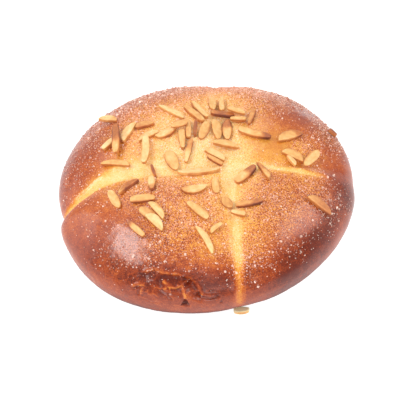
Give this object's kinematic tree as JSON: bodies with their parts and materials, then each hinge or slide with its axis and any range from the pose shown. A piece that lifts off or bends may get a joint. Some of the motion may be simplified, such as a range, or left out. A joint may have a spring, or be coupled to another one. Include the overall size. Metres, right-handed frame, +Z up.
{
  "type": "cross-scored sweet loaf with slivered almonds",
  "caption": "Round, low-domed sweet loaf with a flat base, scored with a cross into puffed lobes and strewn with almond slivers.",
  "frame": {"origin": "on the flat underside, below the middle of the whole loaf's box", "axes": "+Z up out of the crown, +X to the right and along the slightly longer side, -Y to the front, where the longest arm of the scored cross runs down"},
  "size_m": [0.1844, 0.1786, 0.058],
  "materials": {
    "crust": "satin",
    "almond": "satin",
    "toasted_almond": "satin"
  },
  "bodies": {
    "root": {"loaf": "crust", "almond_sliver_01": "almond", "almond_sliver_02": "almond", "almond_sliver_03": "almond", "almond_sliver_04": "almond", "almond_sliver_05": "almond", "almond_sliver_06": "almond", "almond_sliver_07": "almond", "almond_sliver_08": "almond", "almond_sliver_09": "almond", "almond_sliver_10": "almond", "almond_sliver_11": "almond", "almond_sliver_12": "almond", "almond_sliver_13": "almond", "almond_sliver_14": "toasted_almond", "almond_sliver_15": "almond", "almond_sliver_16": "almond", "almond_sliver_17": "almond", "almond_sliver_18": "almond", "almond_sliver_19": "toasted_almond", "almond_sliver_20": "almond", "almond_sliver_21": "almond", "almond_sliver_22": "almond", "almond_sliver_23": "almond", "almond_sliver_24": "almond", "almond_sliver_25": "almond", "almond_sliver_26": "toasted_almond", "almond_sliver_27": "almond", "almond_sliver_28": "almond", "almond_sliver_29": "almond", "almond_sliver_30": "almond", "almond_sliver_31": "almond", "almond_sliver_32": "almond", "almond_sliver_33": "toasted_almond", "almond_sliver_34": "almond", "almond_sliver_35": "almond", "almond_sliver_36": "almond", "almond_sliver_37": "almond", "almond_sliver_38": "almond", "almond_sliver_39": "toasted_almond", "almond_sliver_40": "almond", "almond_sliver_41": "toasted_almond", "almond_sliver_42": "toasted_almond", "almond_sliver_43": "almond", "almond_sliver_44": "toasted_almond", "almond_sliver_45": "almond", "almond_sliver_46": "almond", "almond_sliver_47": "toasted_almond", "almond_sliver_48": "almond", "almond_sliver_49": "toasted_almond", "almond_sliver_50": "almond", "almond_sliver_51": "almond", "almond_sliver_52": "almond", "almond_sliver_53": "almond", "almond_sliver_54": "almond", "almond_sliver_55": "almond", "almond_sliver_56": "almond", "almond_sliver_57": "almond", "fallen_almond_sliver": "almond"}
  },
  "joints": []
}
